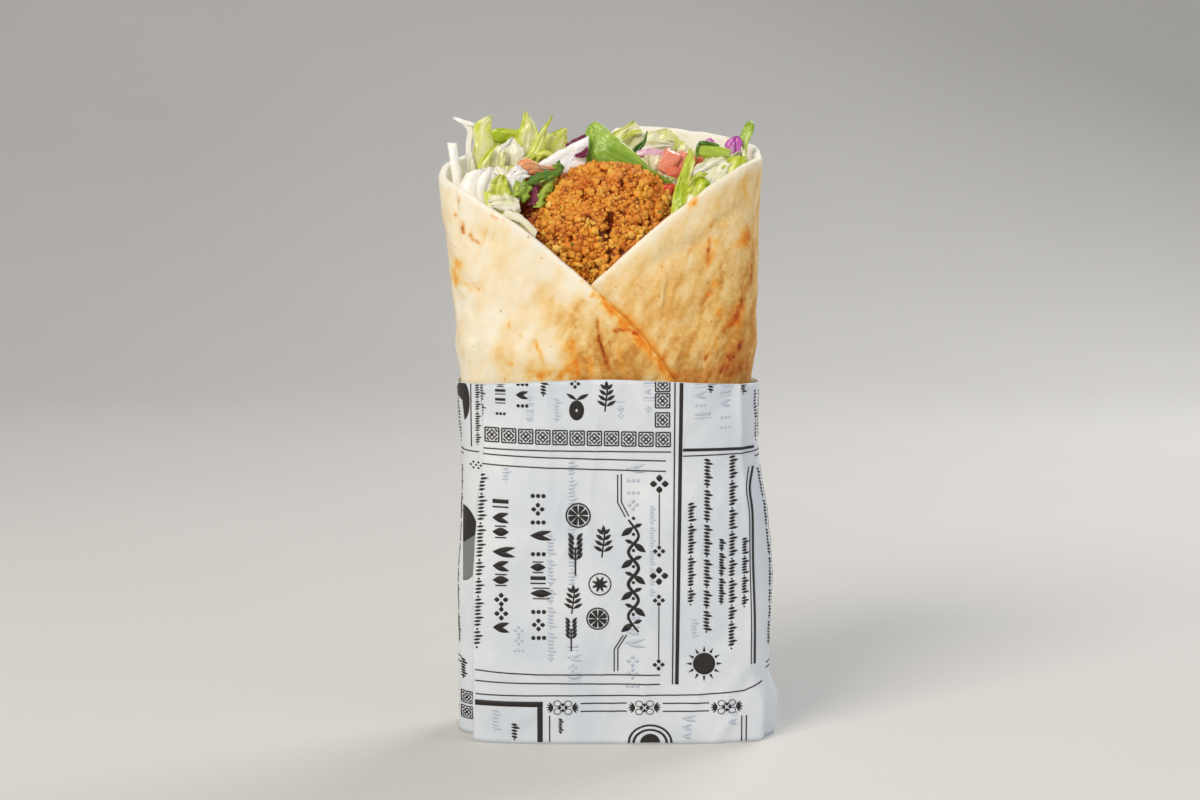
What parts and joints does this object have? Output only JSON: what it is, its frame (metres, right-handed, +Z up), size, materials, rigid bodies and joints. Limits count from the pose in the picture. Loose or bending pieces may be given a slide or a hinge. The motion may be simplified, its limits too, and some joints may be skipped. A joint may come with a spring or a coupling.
{
  "type": "falafel wrap",
  "caption": "Flatbread rolled round falafel and salad, open at the top, standing in a printed paper sleeve.",
  "frame": {"origin": "middle of the base that the wrap stands on, at the bottom centre of its box", "axes": "+Z up along the roll, -Y towards the front with the open V of the flaps, +X to the right seen from the front"},
  "size_m": [0.0964, 0.0519, 0.1776],
  "materials": {
    "paper": "thin greaseproof paper, printed in dark ink",
    "bread": "soft baked wheat dough with toasted blisters; plastic stands in for food",
    "falafel": "craggy deep-fried crust; plastic stands in for food",
    "tomato": "wet cut tomato flesh; plastic stands in for food",
    "cucumber": "wet cut cucumber with dark skin; plastic stands in for food",
    "red_cabbage": "white rib with a purple edge; plastic stands in for food",
    "leaf": "fresh green leaf; plastic stands in for food",
    "onion": "wet red onion; plastic stands in for food",
    "lettuce": "shredded lettuce and white cabbage; plastic stands in for food"
  },
  "bodies": {
    "root": {"paper_sleeve": "paper", "flatbread": "bread", "falafel_front": "falafel", "falafel_left": "falafel", "tomato_left": "tomato", "tomato_right": "tomato", "tomato_right_small": "tomato", "tomato_low": "tomato", "cucumber": "cucumber", "red_cabbage_rib": "red_cabbage", "green_leaf": "leaf", "dark_leaf": "leaf", "parsley_left": "leaf", "parsley_stalk": "leaf", "onion_right": "onion", "onion_middle": "onion", "onion_pink": "onion", "onion_dark": "onion", "salad": "lettuce"}
  },
  "joints": []
}
